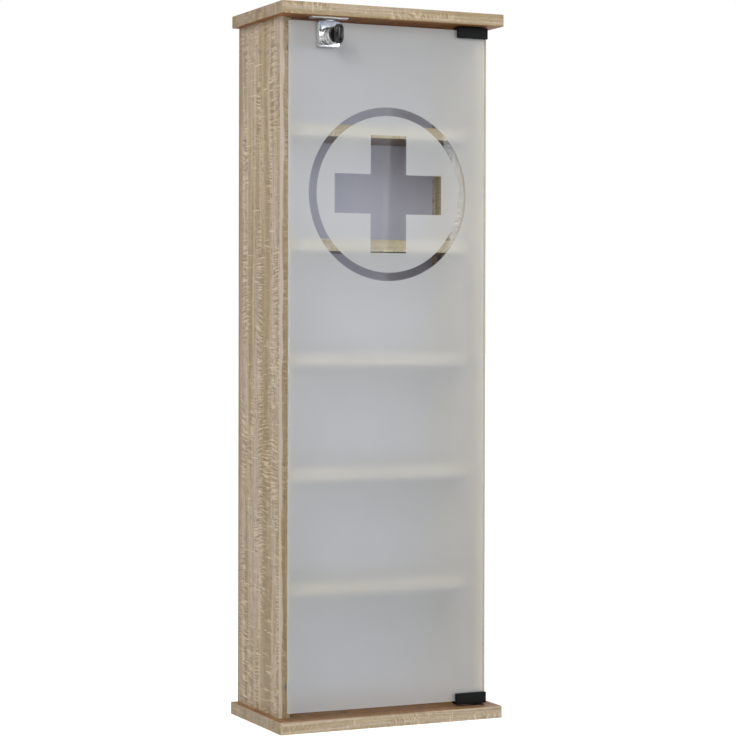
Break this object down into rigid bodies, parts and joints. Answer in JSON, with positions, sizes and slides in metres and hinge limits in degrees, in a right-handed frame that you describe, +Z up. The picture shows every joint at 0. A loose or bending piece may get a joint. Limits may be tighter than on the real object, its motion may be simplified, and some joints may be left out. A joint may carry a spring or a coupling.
{
  "type": "wall medicine cabinet",
  "caption": "Tall narrow wall cabinet for medicines: wood-decor case, shelves on pins, frosted glass door with a clear ringed cross, pivot hinges, cylinder lock with key.",
  "frame": {"origin": "middle of the bottom board's underside, where the cabinet stands", "axes": "+Z up, the door faces -Y, +X to the right seen from the front"},
  "size_m": [0.32, 0.2054, 0.94],
  "materials": {
    "oak_board": "satin sawn-oak decor",
    "hardboard": "matte lacquered",
    "beech": "matte",
    "zinc_steel": "zinc plated",
    "zinc_casting": "cast",
    "chrome": "polished",
    "plug_brass": "turned",
    "black_metal": "matte",
    "black_plastic": "satin",
    "soft_liner": "matte",
    "clear_rubber": "clear soft",
    "frosted_glass": "frosted"
  },
  "bodies": {
    "cabinet": {"side_panel_left": "oak_board", "side_panel_right": "oak_board", "top_board": "oak_board", "bottom_board": "oak_board", "back_panel": "hardboard", "shelf_1": "oak_board", "shelf_2": "oak_board", "shelf_3": "oak_board", "shelf_4": "oak_board", "shelf_5": "oak_board", "shelf_pins": "zinc_steel", "dowels": "beech", "cam_bolts": "zinc_steel", "cam_locks": "zinc_casting", "hanger_plates": "zinc_steel", "hanger_screws": "zinc_steel", "door_bumpers": "clear_rubber", "pivot_bushes": "black_plastic", "strike_plate": "zinc_steel", "strike_screws": "zinc_steel"},
    "door": {"door_glass": "frosted_glass", "upper_hinge_clamp": "black_metal", "lower_hinge_clamp": "black_metal", "hinge_liners": "soft_liner", "hinge_pads": "soft_liner", "hinge_grub_screws": "zinc_steel", "pivot_pins": "zinc_steel", "thrust_washer": "black_plastic", "lock_case": "chrome", "lock_cover": "zinc_steel", "lock_liner": "soft_liner", "lock_pad": "soft_liner", "lock_grub_screws": "zinc_steel", "lock_cylinder": "chrome"},
    "plug": {"lock_plug": "plug_brass", "plug_cap": "black_plastic", "plug_clip": "zinc_steel", "lock_wafers": "plug_brass"},
    "bolt": {"lock_bolt": "zinc_steel"},
    "key": {"key_blade": "zinc_steel", "key_head": "black_plastic"}
  },
  "joints": [
    {"name": "door_swing", "type": "hinge", "parent": "cabinet", "child": "door", "pos_m": [0.1375, -0.0655, 0], "axis": [0, 0, 1], "range_deg": [0, 100]},
    {"name": "plug_turn", "type": "hinge", "parent": "door", "child": "plug", "pos_m": [-0.09, -0.09, 0.8985], "axis": [0, 1, 0], "range_deg": [0, 90]},
    {"name": "bolt_throw", "type": "slide", "parent": "door", "child": "bolt", "axis": [0, 0, 1], "range_m": [0, 0.006]},
    {"name": "key_draw", "type": "slide", "parent": "plug", "child": "key", "axis": [0, -1, 0], "range_m": [0, 0.02]}
  ],
  "couplings": [
    {"joint": "bolt_throw", "follows": "plug_turn", "m_per_rad": 0.003819}
  ]
}
